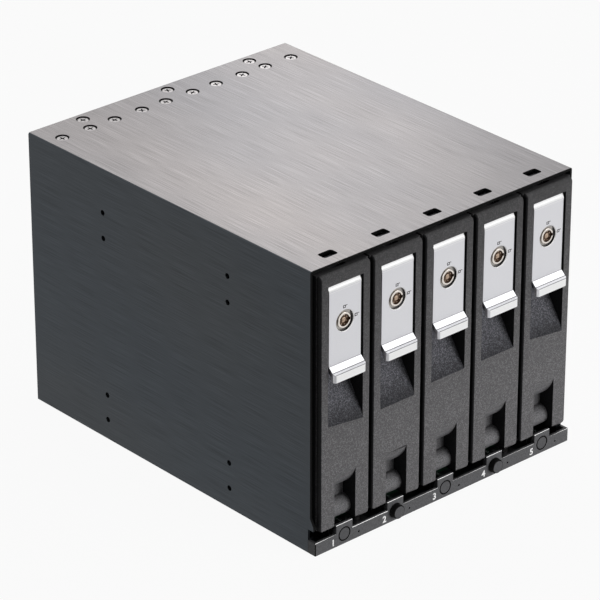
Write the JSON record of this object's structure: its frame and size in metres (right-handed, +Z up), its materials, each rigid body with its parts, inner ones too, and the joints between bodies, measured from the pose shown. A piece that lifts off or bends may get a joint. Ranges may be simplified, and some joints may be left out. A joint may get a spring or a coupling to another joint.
{
  "type": "hot swap drive cage",
  "caption": "Brushed metal box with lockable sliding drive trays behind lever-handled bezels, a power button rail below them and a fan at the rear.",
  "frame": {"origin": "centre of the case's flat underside, halfway along the sheet metal case", "axes": "+Z up, +X to the right seen from the front, +Y from the tray bezels back towards the fan"},
  "size_m": [0.146, 0.2136, 0.1278],
  "materials": {
    "case_metal": "brushed, dark anodised",
    "zinc_steel": "zinc plated sheet",
    "screw_steel": "plated",
    "rail_plastic": "moulded",
    "bezel_plastic": "fine grained",
    "guide_plastic": "moulded",
    "black_plastic": "moulded",
    "white_plastic": "moulded",
    "clear_plastic": "clear",
    "circuit_board": "solder mask",
    "lever_metal": "satin anodised",
    "lock_brass": "machined",
    "guard_chrome": "polished wire"
  },
  "bodies": {
    "cage": {"shell_cover": "case_metal", "bottom_plate": "case_metal", "rear_panel": "zinc_steel", "case_screws": "screw_steel", "front_rail": "rail_plastic", "switch_board": "circuit_board", "push_switches": "black_plastic", "light_pipes": "clear_plastic", "upper_guide": "guide_plastic", "lower_guide": "guide_plastic", "backplane_board": "circuit_board", "board_spacers": "screw_steel", "drive_sockets": "black_plastic", "sata_ports": "black_plastic", "power_sockets": "white_plastic", "fan_frame": "black_plastic", "finger_guard": "guard_chrome", "fan_screws": "screw_steel"},
    "fan_rotor": {"fan_rotor": "black_plastic"},
    "tray_1": {"bezel_1": "bezel_plastic", "carrier_1": "zinc_steel", "hinge_pin_1": "screw_steel", "latch_spring_1": "screw_steel", "bezel_screws_1": "screw_steel"},
    "lever_1": {"lever_1": "lever_metal"},
    "lock_1": {"lock_plug_1": "lock_brass"},
    "power_button_1": {"power_button_1": "rail_plastic"},
    "tray_2": {"bezel_2": "bezel_plastic", "carrier_2": "zinc_steel", "hinge_pin_2": "screw_steel", "latch_spring_2": "screw_steel", "bezel_screws_2": "screw_steel"},
    "lever_2": {"lever_2": "lever_metal"},
    "lock_2": {"lock_plug_2": "lock_brass"},
    "power_button_2": {"power_button_2": "rail_plastic"},
    "tray_3": {"bezel_3": "bezel_plastic", "carrier_3": "zinc_steel", "hinge_pin_3": "screw_steel", "latch_spring_3": "screw_steel", "bezel_screws_3": "screw_steel"},
    "lever_3": {"lever_3": "lever_metal"},
    "lock_3": {"lock_plug_3": "lock_brass"},
    "power_button_3": {"power_button_3": "rail_plastic"},
    "tray_4": {"bezel_4": "bezel_plastic", "carrier_4": "zinc_steel", "hinge_pin_4": "screw_steel", "latch_spring_4": "screw_steel", "bezel_screws_4": "screw_steel"},
    "lever_4": {"lever_4": "lever_metal"},
    "lock_4": {"lock_plug_4": "lock_brass"},
    "power_button_4": {"power_button_4": "rail_plastic"},
    "tray_5": {"bezel_5": "bezel_plastic", "carrier_5": "zinc_steel", "hinge_pin_5": "screw_steel", "latch_spring_5": "screw_steel", "bezel_screws_5": "screw_steel"},
    "lever_5": {"lever_5": "lever_metal"},
    "lock_5": {"lock_plug_5": "lock_brass"},
    "power_button_5": {"power_button_5": "rail_plastic"}
  },
  "joints": [
    {"name": "fan_spin", "type": "hinge", "parent": "cage", "child": "fan_rotor", "pos_m": [-0.006, 0.101, 0.064], "axis": [0, 1, 0], "continuous": true},
    {"name": "tray_slide_1", "type": "slide", "parent": "cage", "child": "tray_1", "axis": [0, -1, 0], "range_m": [0, 0.176]},
    {"name": "lever_swing_1", "type": "hinge", "parent": "tray_1", "child": "lever_1", "pos_m": [-0.057, -0.0895, 0.117], "axis": [-1, 0, 0], "range_deg": [0, 55]},
    {"name": "lock_turn_1", "type": "hinge", "parent": "lever_1", "child": "lock_1", "pos_m": [-0.057, -0.089, 0.1022], "axis": [0, 1, 0], "range_deg": [-90, 0]},
    {"name": "power_press_1", "type": "slide", "parent": "cage", "child": "power_button_1", "axis": [0, 1, 0], "range_m": [-0.0025, 0.0003]},
    {"name": "tray_slide_2", "type": "slide", "parent": "cage", "child": "tray_2", "axis": [0, -1, 0], "range_m": [0, 0.176]},
    {"name": "lever_swing_2", "type": "hinge", "parent": "tray_2", "child": "lever_2", "pos_m": [-0.0285, -0.0895, 0.117], "axis": [-1, 0, 0], "range_deg": [0, 55]},
    {"name": "lock_turn_2", "type": "hinge", "parent": "lever_2", "child": "lock_2", "pos_m": [-0.0285, -0.089, 0.1022], "axis": [0, 1, 0], "range_deg": [-90, 0]},
    {"name": "power_press_2", "type": "slide", "parent": "cage", "child": "power_button_2", "axis": [0, 1, 0], "range_m": [0, 0.0028], "stiffness_N_per_m": 200, "springref_m": -0.001},
    {"name": "tray_slide_3", "type": "slide", "parent": "cage", "child": "tray_3", "axis": [0, -1, 0], "range_m": [0, 0.176]},
    {"name": "lever_swing_3", "type": "hinge", "parent": "tray_3", "child": "lever_3", "pos_m": [0, -0.0895, 0.117], "axis": [-1, 0, 0], "range_deg": [0, 55]},
    {"name": "lock_turn_3", "type": "hinge", "parent": "lever_3", "child": "lock_3", "pos_m": [0, -0.089, 0.1022], "axis": [0, 1, 0], "range_deg": [-90, 0]},
    {"name": "power_press_3", "type": "slide", "parent": "cage", "child": "power_button_3", "axis": [0, 1, 0], "range_m": [-0.0025, 0.0003]},
    {"name": "tray_slide_4", "type": "slide", "parent": "cage", "child": "tray_4", "axis": [0, -1, 0], "range_m": [0, 0.176]},
    {"name": "lever_swing_4", "type": "hinge", "parent": "tray_4", "child": "lever_4", "pos_m": [0.0285, -0.0895, 0.117], "axis": [-1, 0, 0], "range_deg": [0, 55]},
    {"name": "lock_turn_4", "type": "hinge", "parent": "lever_4", "child": "lock_4", "pos_m": [0.0285, -0.089, 0.1022], "axis": [0, 1, 0], "range_deg": [-90, 0]},
    {"name": "power_press_4", "type": "slide", "parent": "cage", "child": "power_button_4", "axis": [0, 1, 0], "range_m": [0, 0.0028], "stiffness_N_per_m": 200, "springref_m": -0.001},
    {"name": "tray_slide_5", "type": "slide", "parent": "cage", "child": "tray_5", "axis": [0, -1, 0], "range_m": [0, 0.176]},
    {"name": "lever_swing_5", "type": "hinge", "parent": "tray_5", "child": "lever_5", "pos_m": [0.057, -0.0895, 0.117], "axis": [-1, 0, 0], "range_deg": [0, 55]},
    {"name": "lock_turn_5", "type": "hinge", "parent": "lever_5", "child": "lock_5", "pos_m": [0.057, -0.089, 0.1022], "axis": [0, 1, 0], "range_deg": [-90, 0]},
    {"name": "power_press_5", "type": "slide", "parent": "cage", "child": "power_button_5", "axis": [0, 1, 0], "range_m": [-0.0025, 0.0003]}
  ]
}
